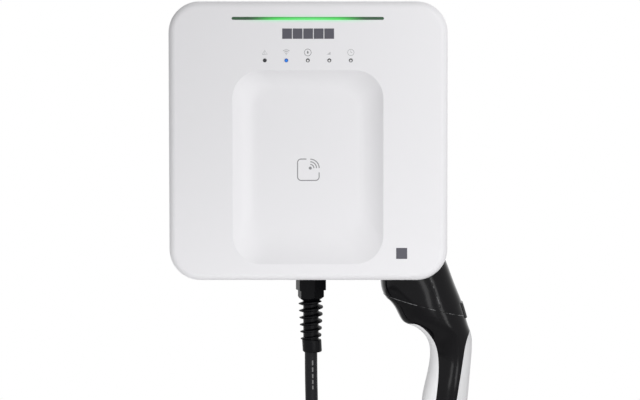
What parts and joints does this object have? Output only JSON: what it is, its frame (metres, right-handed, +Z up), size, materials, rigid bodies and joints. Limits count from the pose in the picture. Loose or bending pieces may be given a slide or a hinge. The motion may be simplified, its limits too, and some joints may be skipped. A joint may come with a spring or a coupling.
{
  "type": "ev wallbox",
  "caption": "Wall-mounted car charging point: square cover with a dished field, light bar, spiral cable gland, coiled cable and a curved connector hung in a holster.",
  "frame": {"origin": "on the wall plane, behind the middle of the square case: the rear face of the wall bracket", "axes": "+X to the right seen from the front, +Y into the wall, +Z up"},
  "size_m": [0.3264, 0.1202, 0.7176],
  "materials": {
    "cover_white": "satin white moulded plastic",
    "housing_black": "dark moulded plastic",
    "seal_rubber": "soft black rubber",
    "light_clear": "clear light guide, lit green",
    "lens_dark": "small round lenses, the second lit blue",
    "board_green": "printed circuit boards",
    "component_black": "moulded electrical parts",
    "relay_white": "relay and supply cases",
    "terminal_grey": "terminal block",
    "brass": "bare brass",
    "steel_zinc": "zinc plated steel",
    "gland_black": "black nylon",
    "cable_black": "satin black cable sheath",
    "core_brown": "core insulation",
    "core_blue": "core insulation",
    "core_green": "core insulation",
    "core_white": "core insulation",
    "grip_black": "polished black moulding",
    "grip_white": "soft pale overmoulding",
    "contact_silver": "plated contact sleeves",
    "tie_black": "hook-and-loop band"
  },
  "bodies": {
    "root": {"front_cover": "cover_white", "cover_seal": "seal_rubber", "cover_screws": "steel_zinc", "light_bar": "light_clear", "light_bar_board": "board_green", "indicator_board": "board_green", "antenna_board": "board_green", "cover_board_screws": "steel_zinc", "rear_housing": "housing_black", "housing_board_screws": "steel_zinc", "power_board": "board_green", "control_board": "board_green", "radio_module": "steel_zinc", "power_relays": "relay_white", "supply_terminals": "terminal_grey", "current_sensor": "component_black", "supply_module": "relay_white", "earth_bar": "brass", "wall_bracket": "steel_zinc", "bracket_screws": "steel_zinc", "supply_grommet": "seal_rubber", "gland_body": "gland_black", "gland_locknut": "gland_black", "gland_seal": "seal_rubber", "gland_spiral_nut": "gland_black", "cable_inner_end": "cable_black", "line_core": "core_brown", "neutral_core": "core_blue", "earth_core": "core_green", "pilot_core": "core_white", "holster_cup": "housing_black", "holster_screws": "steel_zinc", "connector_body": "grip_black", "grip_inner": "grip_white", "grip_outer": "grip_white", "connector_screws": "steel_zinc", "connector_nose": "housing_black", "contact_sleeves": "contact_silver", "button_spring": "steel_zinc", "button_switch": "component_black", "cable_boot": "seal_rubber", "cable_coil": "cable_black", "cable_ties": "tie_black", "cable_leg_gland": "cable_black", "cable_leg_connector": "cable_black", "indicator_lens_1": "lens_dark", "indicator_lens_2": "lens_dark", "indicator_lens_3": "lens_dark", "indicator_lens_4": "lens_dark", "indicator_lens_5": "lens_dark"},
    "button": {"thumb_button": "grip_black"}
  },
  "joints": [
    {"name": "button_press", "type": "slide", "parent": "root", "child": "button", "axis": [-0.9205, 0, -0.3907], "range_m": [0, 0.003], "stiffness_N_per_m": 300, "springref_m": -0.002, "deforming": ["button_spring"]}
  ]
}
